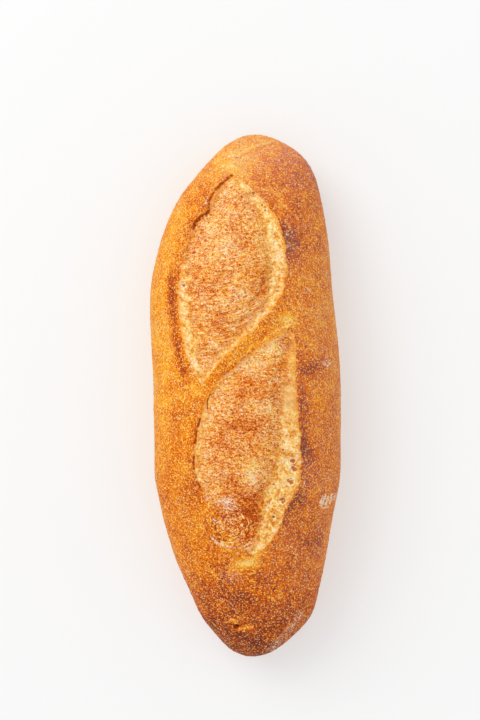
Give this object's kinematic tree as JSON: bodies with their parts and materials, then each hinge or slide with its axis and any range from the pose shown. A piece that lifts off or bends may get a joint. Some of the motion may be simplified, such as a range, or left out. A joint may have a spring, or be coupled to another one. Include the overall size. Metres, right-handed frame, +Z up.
{
  "type": "rustic bread loaf",
  "caption": "Long hearth-baked bread loaf with rounded ends, a flat base and diagonal slashes that opened in the oven along its top.",
  "frame": {"origin": "on the flat base, under the middle of the loaf's bounding box", "axes": "+Z up from the base, +Y along the loaf towards its blunter end, +X across it"},
  "size_m": [0.1102, 0.302, 0.0721],
  "materials": {
    "crust": "dry matt baked crust, golden orange to dark brown, with paler torn dough in the slashes"
  },
  "bodies": {
    "root": {"loaf": "crust"}
  },
  "joints": []
}
